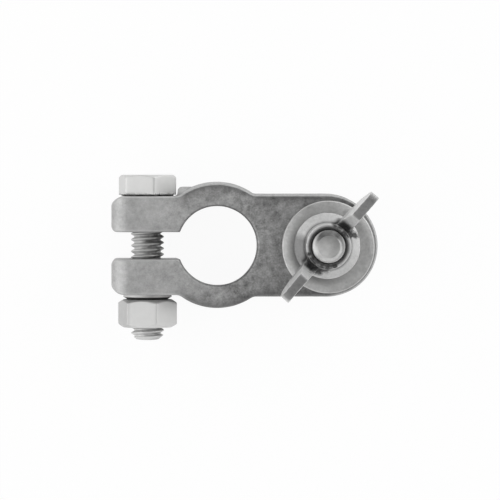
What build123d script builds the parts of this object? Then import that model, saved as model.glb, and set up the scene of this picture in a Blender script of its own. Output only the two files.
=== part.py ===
from build123d import *
from math import cos, radians, sin, sqrt, tan
import os

# Battery terminal clamp. Millimetres. The origin is on the axis of the bore at the
# underside of the ring, +X runs from the ring to the cable stud, +Y to the head of the
# clamp bolt and +Z up.

# cast body
body_height = 16.0  # ring and ears, underside to top face
draft = 1.5  # degrees, on the side walls of the ring and of the pad
edge_break = 0.4  # along the outline of the top and around the ear ends
parting_chamfer = 0.35  # ground along the outline of the underside
bore_chamfer = 0.5  # at both mouths of the bore
bore_radius = 9.45  # of the straight land at the top of the bore
land_length = 3.4
bore_taper = 1 / 9  # growth of the diameter per length below the land
ring_wall = 5.95  # at the underside, outside the land radius
slit_width = 6.4
ear_thickness = 8.7
ear_reach = 25.5  # bore axis to the outer end of the ears
ear_end_round = 4.2  # seen from the side, towards the top
ear_corner_cut = 1.8  # seen from above, outer corners
ear_corner_round = 3.4
gap_corner_cut = 0.8  # seen from above, corners at the slit
gap_corner_round = 1.2
junction_round = 2.4  # between ring and ears and between ring and pad
pad_thickness = 9.5
pad_end_radius = 12.5  # at the underside, about the stud
stud_reach = 26.3  # bore axis to stud axis

# web below the pad
web_thickness = 5.5
web_drop = 4.9  # below the underside of the pad, at the ring
web_stand_off = 1.0  # web to the pocket of the stud head

# shoulder on the ring beside the head of the clamp bolt
shoulder_stand_off = 7.15  # bolt axis to the shoulder
shoulder_depth = 1.15  # how far it stands below the outline of the ring
shoulder_slope = 2.6  # how far its side leans in over the height
shoulder_end_lean = 0.9  # the same for its end towards the bolt head
shoulder_length = 7.5
shoulder_round = 1.2

# 5/16-18 hardware
thread_radius = 7.94 / 2
thread_clearance = 0.05  # between a screw and the bore of its nut, on the radius
hole_clearance = 0.33  # between a screw and a cast hole, on the radius
hex_across_flats = 12.7
hex_chamfer_angle = 30.0
neck_bevel = 0.3  # under a head
point_chamfer = 1.3  # on the radius, at the end of a screw
point_length = 1.1

# clamp bolt
bolt_reach = 16.8  # bore axis to the axis of the clamp bolt
bolt_length = 34.9  # under the head
bolt_turn = 16.0  # degrees, a corner of the head from +X
head_height = 5.1
head_chamfer = 1.2  # how far the chamfer runs in from the corners

# clamp nut
nut_height = 6.75
nut_turn = 12.0  # degrees, a corner of the nut from +X
nut_chamfer = 1.5

# split lock washer
lock_outer_radius = 5.85
lock_clearance = 0.2  # around the screw, on the radius
lock_thickness = 1.2
lock_relief = 0.6  # how much of the thickness slopes away towards the nut
lock_relief_width = 1.1
lock_split = 0.8
lock_split_slant = 30.0  # degrees
lock_split_turn = -60.0  # degrees, where the split stands, from +X

# cable stud, its head sunk in the pad from below
stud_length = 15.9  # under the head
stud_web = 4.2  # casting left above the sunk head
stud_head_height = 5.1
pocket_clearance = 0.1  # around the flats of the sunk head

# flat washer
washer_width = 6.48  # ring of material, on the radius
washer_thickness = 2.1
washer_clearance = 0.65  # around the stud, on the radius
washer_edge_break = 0.7
washer_shift = 0.28  # towards +X and -Y, where it came to rest

# wing nut
hub_base_radius = 8.0
hub_neck_radius = 5.75  # where the skirt meets the neck
hub_top_radius = 5.4
hub_height = 8.0
hub_foot = 0.9  # straight foot below the skirt
hub_skirt_height = 2.9  # top of the sloping skirt
countersink = 0.55  # added to the radius at the mouth
wing_turn = 49.0  # degrees from +X
wing_thickness = 2.3  # at the crest
wing_draft = 3.0  # degrees on each side of a wing
wing_span_radius = 16.4
wing_height = 17.0  # washer to crest
wing_crest_inner = 9.0
wing_crest_fall = 1.0  # the crest is lower at its inner end
wing_root_low = 1.6
wing_throat_radius = 6.7  # bottom of the notch between a wing and the neck
wing_throat_height = 5.4
wing_throat_fall = 0.5  # from the notch inwards to the neck
wing_heel = 3.2  # straight outer edge below the crest
wing_sweep_radius = 15.5  # of the hollow edge from the hub up to the heel
wing_crest_round = 1.8
wing_throat_round = 0.8
wing_root_round = 0.8

# values that follow
ring_radius = bore_radius + ring_wall
land_floor = body_height - land_length
bore_mouth_radius = bore_radius + land_floor * bore_taper / 2
ear_inner = slit_width / 2
ear_outer = ear_inner + ear_thickness
ear_end_line = -ear_reach + ear_end_round
bolt_height = body_height / 2
pad_floor = body_height - pad_thickness
shoulder_end = shoulder_stand_off - bolt_reach
shoulder_reach = ring_radius - shoulder_depth
hole_radius = thread_radius + hole_clearance
nut_bore_radius = thread_radius + thread_clearance
hex_corner = hex_across_flats / sqrt(3)
chamfer_slope = tan(radians(hex_chamfer_angle))
stud_seat = body_height - stud_web
stud_foot = stud_seat - stud_head_height
pocket_radius = hex_across_flats / 2 + pocket_clearance
washer_inner_radius = thread_radius + washer_clearance
washer_outer_radius = washer_inner_radius + washer_width
washer_top = body_height + washer_thickness

os.makedirs("parts", exist_ok=True)

# planes across the clamp bolt, each facing from its head to its nut
under_head = Plane((-bolt_reach, ear_outer, bolt_height), x_dir=(1, 0, 0), z_dir=(0, -1, 0))
lock_seat = Plane((-bolt_reach, -ear_outer, bolt_height), x_dir=(1, 0, 0), z_dir=(0, -1, 0))
nut_seat = lock_seat.offset(lock_thickness)
# plane along the clamp bolt, and its axis
along_bolt = Plane((-bolt_reach, 0, bolt_height), x_dir=(1, 0, 0), z_dir=(0, 0, 1))
bolt_axis = Axis((-bolt_reach, 0, bolt_height), (0, 1, 0))
# plane and axis through the cable stud
along_stud = Plane((stud_reach, 0, 0), x_dir=(1, 0, 0), z_dir=(0, -1, 0))
stud_axis = Axis((stud_reach, 0, 0), (0, 0, 1))


# ---- cast body: split ring, two ears and pad in one piece --------------------------
with BuildPart() as clamp_body:
    # ears: rounded corners seen from above, rounded end seen from the side
    with BuildSketch() as ear_plan:
        with Locations((-ear_reach, ear_inner)):
            Rectangle(ear_reach, ear_thickness, align=Align.MIN)
        ends = ear_plan.vertices().group_by(Axis.X)[0].sort_by(Axis.Y)
        chamfer(ends[0], length=gap_corner_cut)
        chamfer(ends[-1], length=ear_corner_cut)
        fillet(ear_plan.vertices().group_by(Axis.Y)[0].sort_by(Axis.X)[0], gap_corner_round)
        fillet(ear_plan.vertices().group_by(Axis.Y)[-1].sort_by(Axis.X)[0], ear_corner_round)
        mirror(about=Plane.XZ)
    extrude(amount=body_height)
    with BuildSketch(Plane.XZ) as ear_side:
        with Locations((-ear_reach, 0)):
            Rectangle(ear_reach, body_height, align=Align.MIN)
        ends = ear_side.vertices().group_by(Axis.X)[0].sort_by(Axis.Y)
        fillet(ends[-1], radius=ear_end_round)
    extrude(amount=ear_outer, both=True, mode=Mode.INTERSECT)

    # ring
    with BuildSketch():
        Circle(ring_radius)
    extrude(amount=body_height, taper=draft)

    # pad, its end rounded about the stud
    with BuildSketch(Plane.XY.offset(pad_floor)):
        with Locations((stud_reach, 0)):
            Circle(pad_end_radius)
        Rectangle(stud_reach, 2 * pad_end_radius, align=(Align.MIN, Align.CENTER))
    extrude(amount=pad_thickness, taper=draft)

    # rounds where ears and pad leave the ring
    upright = clamp_body.edges().filter_by(lambda e: abs((e % 0.5).Z) > 0.95)
    roots = upright.filter_by(
        lambda e: ear_end_line < (e @ 0.5).X < stud_reach and abs((e @ 0.5).Y) > ear_inner + 1
    )
    fillet(roots, radius=junction_round)

    # shoulder beside the bolt head, leaning in towards the top
    with BuildSketch() as shoulder_low:
        with Locations((shoulder_end, 0)):
            Rectangle(shoulder_length, shoulder_reach, align=Align.MIN)
        fillet(shoulder_low.vertices().sort_by(lambda v: v.X - v.Y)[0], radius=shoulder_round)
    with BuildSketch(Plane.XY.offset(body_height)) as shoulder_high:
        with Locations((shoulder_end + shoulder_end_lean, 0)):
            Rectangle(
                shoulder_length - shoulder_end_lean,
                shoulder_reach - shoulder_slope,
                align=Align.MIN,
            )
        fillet(shoulder_high.vertices().sort_by(lambda v: v.X - v.Y)[0], radius=shoulder_round)
    loft(ruled=True)

    # web below the pad, running out before the pocket
    web_inner = bore_radius + ring_wall / 2
    web_end = stud_reach - pocket_radius * 2 / sqrt(3) - web_stand_off
    with BuildSketch(Plane.XZ):
        with BuildLine():
            Polyline(
                (web_inner, pad_floor + 1),
                (web_inner, pad_floor - web_drop),
                (ring_radius, pad_floor - web_drop),
                (web_end, pad_floor),
                (web_end, pad_floor + 1),
                close=True,
            )
        make_face()
    extrude(amount=web_thickness / 2, both=True)

    # bore: straight land at the top, widening downwards to suit the taper of the post
    with BuildSketch(Plane.XZ):
        with BuildLine():
            Polyline(
                (0, 0),
                (bore_mouth_radius + bore_chamfer, 0),
                (bore_mouth_radius, bore_chamfer),
                (bore_radius, land_floor),
                (bore_radius, body_height - bore_chamfer),
                (bore_radius + bore_chamfer, body_height),
                (0, body_height),
                close=True,
            )
        make_face()
    revolve(axis=Axis.Z, mode=Mode.SUBTRACT)

    # slit that lets the ring close
    with BuildSketch():
        Rectangle(ear_reach, slit_width, align=(Align.MAX, Align.CENTER))
    extrude(amount=body_height, mode=Mode.SUBTRACT)

    # edges broken along the outline of the top and around the ear ends
    rim_edges = clamp_body.edges().filter_by(GeomType.CIRCLE)
    rim_edges = rim_edges.filter_by(lambda e: e.radius < bore_mouth_radius + bore_chamfer + 0.01)
    top_edges = clamp_body.faces().filter_by(Axis.Z).sort_by(Axis.Z)[-1].edges() - rim_edges
    end_edges = clamp_body.edges().filter_by(
        lambda e: (e @ 0.5).X < ear_end_line - 0.01 and (e @ 0.5).Z > 0.01
    )
    flat_ends = end_edges.filter_by(GeomType.LINE)
    corners = flat_ends.filter_by(Axis.Z).filter_by(lambda e: (e @ 0.5).X < 0.01 - ear_reach)
    top_edges = top_edges.filter_by(lambda e: (e @ 0.5).X > ear_end_line + 0.01)
    chamfer(top_edges + (end_edges - flat_ends) + corners, length=edge_break)
    # outline of the underside, broken where the halves of the mould part
    under_edges = clamp_body.faces().filter_by(Axis.Z).sort_by(Axis.Z)[0].edges()
    chamfer(under_edges - rim_edges, length=parting_chamfer)

    # holes of the clamp bolt and of the stud, and the pocket that keeps its head from turning
    with BuildSketch(under_head):
        Circle(hole_radius)
    extrude(amount=2 * ear_outer, mode=Mode.SUBTRACT)
    with BuildSketch(Plane.XY.offset(stud_seat)):
        with Locations((stud_reach, 0)):
            Circle(hole_radius)
    extrude(amount=stud_web, mode=Mode.SUBTRACT)
    with BuildSketch(Plane.XY.offset(pad_floor)):
        with Locations((stud_reach, 0)):
            RegularPolygon(pocket_radius, 6, major_radius=False)
    extrude(amount=stud_seat - pad_floor, mode=Mode.SUBTRACT)
clamp_body.part.label = "clamp_body"
export_step(clamp_body.part, "parts/clamp_body.step")


# ---- clamp bolt ---------------------------------------------------------------------
with BuildPart() as clamp_bolt:
    with BuildSketch(under_head):
        RegularPolygon(hex_corner, 6, rotation=bolt_turn)
    extrude(amount=-head_height)
    with BuildSketch(along_bolt):
        with BuildLine():
            Polyline(
                (0, ear_outer),
                (hex_corner + 1, ear_outer),
                (hex_corner + 1, ear_outer + head_height - (head_chamfer + 1) * chamfer_slope),
                (hex_corner - head_chamfer, ear_outer + head_height),
                (0, ear_outer + head_height),
                close=True,
            )
        make_face()
    revolve(axis=bolt_axis, mode=Mode.INTERSECT)
    with BuildSketch(along_bolt):
        with BuildLine():
            Polyline(
                (0, ear_outer + 1),
                (thread_radius + neck_bevel, ear_outer + 1),
                (thread_radius + neck_bevel, ear_outer),
                (thread_radius, ear_outer - neck_bevel),
                (thread_radius, ear_outer - bolt_length + point_length),
                (thread_radius - point_chamfer, ear_outer - bolt_length),
                (0, ear_outer - bolt_length),
                close=True,
            )
        make_face()
    revolve(axis=bolt_axis)
clamp_bolt.part.label = "clamp_bolt"
export_step(clamp_bolt.part, "parts/clamp_bolt.step")


# ---- clamp nut ----------------------------------------------------------------------
with BuildPart() as clamp_nut:
    with BuildSketch(nut_seat):
        RegularPolygon(hex_corner, 6, rotation=nut_turn)
    extrude(amount=nut_height)
    nut_near = -ear_outer - lock_thickness
    nut_far = nut_near - nut_height
    nut_flank = (nut_chamfer + 1) * chamfer_slope
    with BuildSketch(along_bolt):
        with BuildLine():
            Polyline(
                (0, nut_near),
                (hex_corner - nut_chamfer, nut_near),
                (hex_corner + 1, nut_near - nut_flank),
                (hex_corner + 1, nut_far + nut_flank),
                (hex_corner - nut_chamfer, nut_far),
                (0, nut_far),
                close=True,
            )
        make_face()
    revolve(axis=bolt_axis, mode=Mode.INTERSECT)
    with BuildSketch(along_bolt):
        with BuildLine():
            Polyline(
                (0, nut_near),
                (nut_bore_radius + countersink, nut_near),
                (nut_bore_radius, nut_near - countersink),
                (nut_bore_radius, nut_far + countersink),
                (nut_bore_radius + countersink, nut_far),
                (0, nut_far),
                close=True,
            )
        make_face()
    revolve(axis=bolt_axis, mode=Mode.SUBTRACT)
clamp_nut.part.label = "clamp_nut"
export_step(clamp_nut.part, "parts/clamp_nut.step")


# ---- split lock washer between ear and nut --------------------------------------------
with BuildPart() as lock_washer:
    with BuildSketch(lock_seat):
        Circle(lock_outer_radius)
        Circle(thread_radius + lock_clearance, mode=Mode.SUBTRACT)
    extrude(amount=lock_thickness)
    # rim slopes away towards the nut
    rim = lock_washer.edges().filter_by(GeomType.CIRCLE).group_by(Axis.Y)[0]
    rim = rim.sort_by(SortBy.RADIUS)[-1]
    face = lock_washer.faces().sort_by(Axis.Y)[0]
    chamfer(rim, length=lock_relief_width, length2=lock_relief, reference=face)
    # slanting split through one side of the ring
    split_plane = Plane(
        (-bolt_reach, -ear_outer - lock_thickness / 2, bolt_height),
        x_dir=(0, 1, 0),
        z_dir=(cos(radians(lock_split_turn)), 0, sin(radians(lock_split_turn))),
    )
    with BuildSketch(split_plane):
        with BuildLine():
            lean = lock_thickness * tan(radians(lock_split_slant))
            Polyline(
                (-lock_thickness, -lock_split / 2 - lean),
                (lock_thickness, -lock_split / 2 + lean),
                (lock_thickness, lock_split / 2 + lean),
                (-lock_thickness, lock_split / 2 - lean),
                close=True,
            )
        make_face()
    extrude(amount=lock_outer_radius + 1, mode=Mode.SUBTRACT)
lock_washer.part.label = "lock_washer"
export_step(lock_washer.part, "parts/lock_washer.step")


# ---- cable stud -----------------------------------------------------------------------
with BuildPart() as cable_stud:
    with BuildSketch(Plane.XY.offset(stud_foot)):
        with Locations((stud_reach, 0)):
            RegularPolygon(hex_corner, 6)
    extrude(amount=stud_head_height)
    with BuildSketch(along_stud):
        with BuildLine():
            Polyline(
                (0, stud_seat),
                (hex_corner + 1, stud_seat),
                (hex_corner + 1, stud_foot + (head_chamfer + 1) * chamfer_slope),
                (hex_corner - head_chamfer, stud_foot),
                (0, stud_foot),
                close=True,
            )
        make_face()
    revolve(axis=stud_axis, mode=Mode.INTERSECT)
    with BuildSketch(along_stud):
        with BuildLine():
            Polyline(
                (0, stud_seat - 1),
                (thread_radius + neck_bevel, stud_seat - 1),
                (thread_radius + neck_bevel, stud_seat),
                (thread_radius, stud_seat + neck_bevel),
                (thread_radius, stud_seat + stud_length - point_length),
                (thread_radius - point_chamfer, stud_seat + stud_length),
                (0, stud_seat + stud_length),
                close=True,
            )
        make_face()
    revolve(axis=stud_axis)
cable_stud.part.label = "cable_stud"
export_step(cable_stud.part, "parts/cable_stud.step")


# ---- flat washer ------------------------------------------------------------------------
with BuildPart() as flat_washer:
    with BuildSketch(Plane.XY.offset(body_height)):
        with Locations((stud_reach + washer_shift, -washer_shift)):
            Circle(washer_outer_radius)
            Circle(washer_inner_radius, mode=Mode.SUBTRACT)
    extrude(amount=washer_thickness)
    rims = flat_washer.edges().filter_by(GeomType.CIRCLE).group_by(Axis.Z)[-1]
    chamfer(rims.sort_by(SortBy.RADIUS)[-1], length=washer_edge_break)
flat_washer.part.label = "flat_washer"
export_step(flat_washer.part, "parts/flat_washer.step")


# ---- wing nut -----------------------------------------------------------------------------
wing_x = Vector(cos(radians(wing_turn)), sin(radians(wing_turn)), 0)
wing_side = Vector(sin(radians(wing_turn)), -cos(radians(wing_turn)), 0)
wing_plane = Plane((stud_reach, 0, washer_top), x_dir=wing_x, z_dir=wing_side)
across_wings = Plane((stud_reach, 0, washer_top), x_dir=wing_side, z_dir=-wing_x)
wing_foot = wing_thickness / 2 + wing_height * tan(radians(wing_draft))
with BuildPart() as wing_nut:
    # outline of one wing, then its mirror image
    with BuildSketch(wing_plane.offset(-wing_foot)) as wing_outline:
        with BuildLine():
            root = (hub_base_radius - 1.2, wing_root_low)
            heel = (wing_span_radius, wing_height - wing_heel)
            RadiusArc(root, heel, radius=-wing_sweep_radius)
            Polyline(
                heel,
                (wing_span_radius, wing_height),
                (wing_crest_inner, wing_height - wing_crest_fall),
                (wing_throat_radius, wing_throat_height),
                (nut_bore_radius, wing_throat_height - wing_throat_fall),
                (nut_bore_radius, wing_root_low),
                root,
            )
        make_face()
        crest = wing_outline.vertices().sort_by(Axis.Y)[-2:]
        fillet(crest[1], radius=wing_crest_round)
        throat = wing_outline.vertices().filter_by(
            lambda v: v.Y > wing_throat_height - 0.01 and v.X < wing_crest_inner + 0.01
        )
        fillet(throat, radius=wing_throat_round)
        mirror(about=Plane.YZ)
    extrude(amount=2 * wing_foot)
    # both wings thin out towards the crest
    with BuildSketch(across_wings.offset(-wing_span_radius - 1)):
        with BuildLine():
            Polyline(
                (-wing_foot, 0),
                (wing_foot, 0),
                (wing_thickness / 2, wing_height),
                (-wing_thickness / 2, wing_height),
                close=True,
            )
        make_face()
    extrude(amount=2 * wing_span_radius + 2, mode=Mode.INTERSECT)
    # hub: straight foot, sloping skirt and neck
    with BuildSketch(along_stud):
        with BuildLine():
            Polyline(
                (0, washer_top),
                (hub_base_radius, washer_top),
                (hub_base_radius, washer_top + hub_foot),
                (hub_neck_radius, washer_top + hub_skirt_height),
                (hub_top_radius, washer_top + hub_height),
                (0, washer_top + hub_height),
                close=True,
            )
        make_face()
    revolve(axis=stud_axis)
    # rounds where the sides of the wings leave the hub
    fillet(wing_nut.edges().filter_by(GeomType.HYPERBOLA), radius=wing_root_round)
    # threaded bore, opened at both mouths
    with BuildSketch(along_stud):
        with BuildLine():
            Polyline(
                (0, washer_top),
                (nut_bore_radius + countersink, washer_top),
                (nut_bore_radius, washer_top + countersink),
                (nut_bore_radius, washer_top + hub_height - countersink),
                (nut_bore_radius + countersink, washer_top + hub_height),
                (0, washer_top + hub_height),
                close=True,
            )
        make_face()
    revolve(axis=stud_axis, mode=Mode.SUBTRACT)
wing_nut.part.label = "wing_nut"
export_step(wing_nut.part, "parts/wing_nut.step")
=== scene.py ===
"""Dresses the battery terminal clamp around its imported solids.

The castings get a skin with rounded edges and a slightly uneven surface, the screws get
their threads, and every piece gets its own finish. Lengths are metres unless a name says
mm, in the frame of the solids: the origin on the axis of the bore at the underside, +X
towards the cable stud, +Y towards the head of the clamp bolt and +Z up.
"""

import logging
import math
from dataclasses import dataclass
from enum import Enum

import bpy
import numpy as np
from mathutils import Matrix, Vector

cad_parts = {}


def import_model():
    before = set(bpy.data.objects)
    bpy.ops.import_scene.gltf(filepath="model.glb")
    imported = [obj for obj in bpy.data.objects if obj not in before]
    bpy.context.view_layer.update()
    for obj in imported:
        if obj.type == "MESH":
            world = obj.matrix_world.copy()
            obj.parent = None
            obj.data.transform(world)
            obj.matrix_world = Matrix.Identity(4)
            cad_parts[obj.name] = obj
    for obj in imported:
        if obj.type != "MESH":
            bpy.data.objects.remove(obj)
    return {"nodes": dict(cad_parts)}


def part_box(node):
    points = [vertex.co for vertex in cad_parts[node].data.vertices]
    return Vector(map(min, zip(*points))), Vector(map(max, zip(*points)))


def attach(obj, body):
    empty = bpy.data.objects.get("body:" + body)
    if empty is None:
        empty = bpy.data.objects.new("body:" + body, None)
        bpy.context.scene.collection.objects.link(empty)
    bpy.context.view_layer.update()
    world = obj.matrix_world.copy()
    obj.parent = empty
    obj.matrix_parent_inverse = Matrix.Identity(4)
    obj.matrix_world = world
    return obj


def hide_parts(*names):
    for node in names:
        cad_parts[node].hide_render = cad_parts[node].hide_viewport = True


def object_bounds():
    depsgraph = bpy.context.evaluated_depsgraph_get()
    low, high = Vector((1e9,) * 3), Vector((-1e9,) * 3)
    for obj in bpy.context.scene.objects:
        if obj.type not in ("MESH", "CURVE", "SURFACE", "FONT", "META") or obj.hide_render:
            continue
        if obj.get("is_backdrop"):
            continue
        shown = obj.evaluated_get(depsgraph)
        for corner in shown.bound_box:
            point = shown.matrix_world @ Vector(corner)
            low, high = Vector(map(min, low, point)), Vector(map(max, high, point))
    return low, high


log = logging.getLogger("clamp")

Array = np.ndarray
Material = bpy.types.Material
Socket = bpy.types.NodeSocket
Piece = bpy.types.Object
Place = tuple[float, float, float]
Span = tuple[float, float]  # most: where an effect starts and where it is full

MM = 0.001
PICTURE_SIDE = 500

# Parts of a noise pattern's range that are stretched; most values lie from 0.3 to 0.7.
WIDE = (0.25, 0.75)
MOST = (0.3, 0.7)
INNER = (0.32, 0.68)
NARROW = (0.35, 0.65)

CHAMFER_SLOPE = math.tan(math.radians(30))  # of the cone that cuts a hexagon's corners
CHAMFER_POWER = 90.0  # how crisply that cone meets the flats
TIP_POWER = 70.0  # how crisply the cone of a screw's point meets its thread
ROOT_FLAT, CREST_FLAT = 0.16, 0.15  # of a thread, as parts of half a pitch
FLANK_EASE = 0.35  # share of a curved climb in a thread's flank
EVEN_COLUMNS, ROUND_COLUMNS = 72, 144  # directions round a hexagon and round a washer
CORNER_COLUMNS = np.radians([-2.6, -1.5, -0.7, 0.0, 0.7, 1.5, 2.6])
CORNER_CLEAR = math.radians(3.4)  # no even column lies this near a corner

# Rows of a section, as shares of the way out from the middle.
TOP_ROWS = np.array([0.25, 0.5, 0.75, 0.93, 0.98])[:, None]
FLOOR_ROWS = np.array([0.75, 0.4, 0.1])[:, None]
END_ROWS = np.array([0.97, 0.9, 0.8, 0.65, 0.45, 0.2])[:, None]
FACE_ROWS = np.array([0.06, 0.3, 0.6, 0.7, 0.8, 0.9, 0.98])[:, None]
# The round washer face under a head: mm above it, mm in from the flats, painted shadow.
FOOT_ROWS = np.array(
    [[0.42, 0.0, 0.0], [0.36, 0.04, 0.0], [0.34, 0.12, 1.0], [0.30, 0.62, 1.0], [0.0, 0.66, 1.0]]
)

SHRINK, REGROW = 0.50, -0.52  # steps towards and away from the mean of the neighbours
SETTLE = 0.6
BOLT_AXES = ((0, -1, 0), (1, 0, 0))  # along and across
STUD_AXES = ((0, 0, 1), (1, 0, 0))


# ---- node trees ----


class NodeBench:
    """Builds one node tree, with short calls for the nodes that the finishes use."""

    def __init__(self, owner: "Material | bpy.types.World") -> None:
        """Empties a node tree.

        Args:
            owner: the material or world that it belongs to.
        """
        owner.use_nodes = True
        self.owner = owner
        self.tree = owner.node_tree
        self.tree.nodes.clear()

    def node(
        self, kind: str, inputs: "dict[str | int, object]", **values: object
    ) -> bpy.types.Node:
        """Adds a node.

        Args:
            kind: the node's type, without the leading ShaderNode.
            inputs: by name or number, what each is set to or the socket it is joined to.
            **values: attributes of the node.

        Returns:
            The new node.
        """
        made = self.tree.nodes.new("ShaderNode" + kind)
        for key, value in values.items():
            setattr(made, key, value)
        for key, value in inputs.items():
            if isinstance(value, Socket):
                self.tree.links.new(value, made.inputs[key])
            else:
                made.inputs[key].default_value = value
        return made

    def place(self) -> Socket:
        """Returns the object coordinates in millimetres."""
        inputs = {"Vector": self.node("TexCoord", {}).outputs["Object"], "Scale": (1 / MM,) * 3}
        return self.node("Mapping", inputs).outputs["Vector"]

    def along(self, place: Socket, axis: str) -> Socket:
        """Returns one coordinate of a place."""
        return self.node("SeparateXYZ", {0: place}).outputs[axis]

    def attribute(self, name: str) -> Socket:
        """Returns the value of a mesh attribute."""
        return self.node("Attribute", {}, attribute_name=name).outputs["Fac"]

    def noise(self, place: Socket, size_mm: float, detail: float, **more: float) -> Socket:
        """Returns a noise pattern from 0 to 1, its largest patches size_mm wide."""
        inputs = {"Vector": place, "Scale": 1 / size_mm, "Detail": detail, **more}
        return self.node("TexNoise", inputs).outputs["Fac"]

    def spread(
        self, value: Socket, low: float, high: float, to_low: float, to_high: float
    ) -> Socket:
        """Maps a value linearly from one range to another and stops at its ends."""
        ends = {"From Min": low, "From Max": high, "To Min": to_low, "To Max": to_high}
        return self.node("MapRange", {"Value": value, **ends}).outputs["Result"]

    def math(self, operation: str, first: Socket, second: "Socket | float") -> Socket:
        """Joins two values by an operation such as ADD or MULTIPLY."""
        return self.node("Math", {0: first, 1: second}, operation=operation).outputs[0]

    def blend(self, share: Socket, first: Socket, second: "Socket | float") -> Socket:
        """Blends two values, where a share of 0 gives the first and 1 the second."""
        inputs = {"Factor": share, 2: first, 3: second}
        return self.node("Mix", inputs, data_type="FLOAT").outputs[0]

    def bump(self, height: Socket, depth_mm: float, **under: Socket) -> Socket:
        """Bends the normal, or one given as Normal, by a height of 0 to depth_mm."""
        inputs = {"Strength": 1.0, "Distance": depth_mm * MM, "Height": height, **under}
        return self.node("Bump", inputs).outputs["Normal"]

    def surface(self, shader: bpy.types.Node, output: str = "OutputMaterial") -> bpy.types.ID:
        """Joins the shader to the output and returns the tree's owner."""
        self.node(output, {"Surface": shader.outputs[0]})
        return self.owner

    def metal(
        self, metallic: float, tone: Socket, blue: float, roughness: Socket, normal: Socket
    ) -> Material:
        """Joins a metal to the output.

        Args:
            metallic: share of metal in it.
            tone: its lightness.
            blue: how much of the lightness its blue gets.
            roughness: its roughness.
            normal: its bent normal.

        Returns:
            The material.
        """
        tint = {0: (1.0, 1.0, blue), "Scale": tone}
        inputs = {
            "Metallic": metallic,
            "Base Color": self.node("VectorMath", tint, operation="SCALE").outputs["Vector"],
            "Roughness": roughness,
            "Normal": normal,
        }
        return self.surface(self.node("BsdfPrincipled", inputs))


@dataclass(frozen=True)
class CastFinish:
    """Dull cast alloy: mottled grey, grainy, lighter where handling rubbed its edges, with
    painted shade in hollows, on faces turned from the light and at the wing roots, painted
    highlights on the far end's edge and the wings' flanks, and painted light on the ears.
    """

    name: str = "cast_alloy_skin"
    dark: float = 0.13
    light: float = 0.50
    # lightness of worn edges, and also of the painted highlights on the far end and the wings'
    # flanks
    worn: float = 0.46
    worn_least: float = 0.5  # wear of an edge where the mottle is darkest
    # lightness kept where the painted shade of hollows, and of faces turned from the light, is
    # full
    painted_shade: float = 0.35
    facing_shade: float = 0.45
    metallic: float = 0.6
    blue: float = 0.995
    rough: Span = (0.40, 0.56)
    patch_mm: float = 5.0
    patch: float = 0.30  # what the patches, and below the other patterns, add to lightness
    mottle_mm: float = 1.1
    mottle: float = 0.36
    grain_mm: float = 0.45
    grain: float = 0.20
    grain_depth_mm: float = 0.030
    speck_mm: float = 0.28
    speck: float = 0.14
    pit_mm: float = 1.3
    pit_depth_mm: float = 0.05
    root_shade_mm: float = 1.6
    root_shade_ragged: float = 0.5  # how far the outline of the painted root shade wanders
    root_shade: Span = (0.18, 0.62)  # nearness
    root_shade_fringe: float = 0.12
    root_shade_cover: float = 0.94
    root_shade_tone: Span = (0.02, 0.07)
    root_shade_rough: float = 0.7
    fade: "tuple[Span, Span] | None" = None  # two x in mm and the lightness at each, a painted light that makes the ears lighter than the pad
    calm: Span = (0.6, 1.35)  # strength of the mottle at those two

    def make(self) -> Material:
        """Returns the material."""
        bench = NodeBench(bpy.data.materials.new(self.name))
        place = bench.place()
        patches = bench.noise(place, self.patch_mm, 3.0, Roughness=0.6, Distortion=0.6)
        mottle = bench.noise(place, self.mottle_mm, 4.0, Roughness=0.62)
        grain = bench.noise(place, self.grain_mm, 2.0, Roughness=0.55)
        pits = bench.noise(place, self.pit_mm, 3.0, Roughness=0.6)
        specks = bench.noise(place, self.speck_mm, 1.0)
        coarse = bench.math(
            "ADD",
            bench.spread(patches, *INNER, 0.0, self.patch),
            bench.spread(specks, *MOST, 0.0, self.speck),
        )
        fine = bench.math(
            "ADD",
            bench.spread(mottle, *INNER, 0.0, self.mottle),
            bench.spread(grain, *MOST, 0.0, self.grain),
        )
        lightness = bench.math("ADD", coarse, fine)
        if self.fade is None:
            tone = bench.spread(lightness, 0.0, 1.0, self.dark, self.light)
        else:
            # painted light: lighter towards the ears, darker towards the pad
            x = bench.along(place, "X")
            reach, strengths = self.fade
            swing = bench.spread(x, *reach, *self.calm)
            lightness = bench.math("MULTIPLY", bench.math("SUBTRACT", lightness, 0.5), swing)
            tone = bench.spread(lightness, -0.5, 0.5, self.dark, self.light)
            tone = bench.math("MULTIPLY", tone, bench.spread(x, *reach, *strengths))
        uneven = bench.spread(mottle, *MOST, self.worn_least, 1.0)
        wear = bench.math("MULTIPLY", bench.attribute("edge"), uneven)
        tone = bench.blend(wear, tone, self.worn)
        # painted shade: darker on faces turned from the light and in hollows
        for name, least in (("facing_shade", self.facing_shade), ("painted_shade", self.painted_shade)):
            shade = bench.spread(bench.attribute(name), 0.0, 1.0, 1.0, least)
            tone = bench.math("MULTIPLY", tone, shade)
        # painted shade at the wing roots: ragged near-black patches round the spots
        ragged = bench.noise(place, self.root_shade_mm, 5.0, Roughness=0.62)
        ragged = bench.spread(ragged, *WIDE, -self.root_shade_ragged, self.root_shade_ragged)
        near = bench.attribute("root_shade")
        root_shade = bench.math(
            "MULTIPLY",
            bench.spread(bench.math("ADD", near, ragged), *self.root_shade, 0.0, self.root_shade_cover),
            bench.spread(near, 0.0, self.root_shade_fringe, 0.0, 1.0),
        )
        tone = bench.blend(root_shade, tone, bench.spread(grain, *MOST, *self.root_shade_tone))
        rough = bench.spread(mottle, *MOST, *self.rough)
        rough = bench.blend(root_shade, rough, self.root_shade_rough)
        normal = bench.bump(pits, self.pit_depth_mm)
        normal = bench.bump(grain, self.grain_depth_mm, Normal=normal)
        return bench.metal(self.metallic, tone, self.blue, rough, normal)


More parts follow.
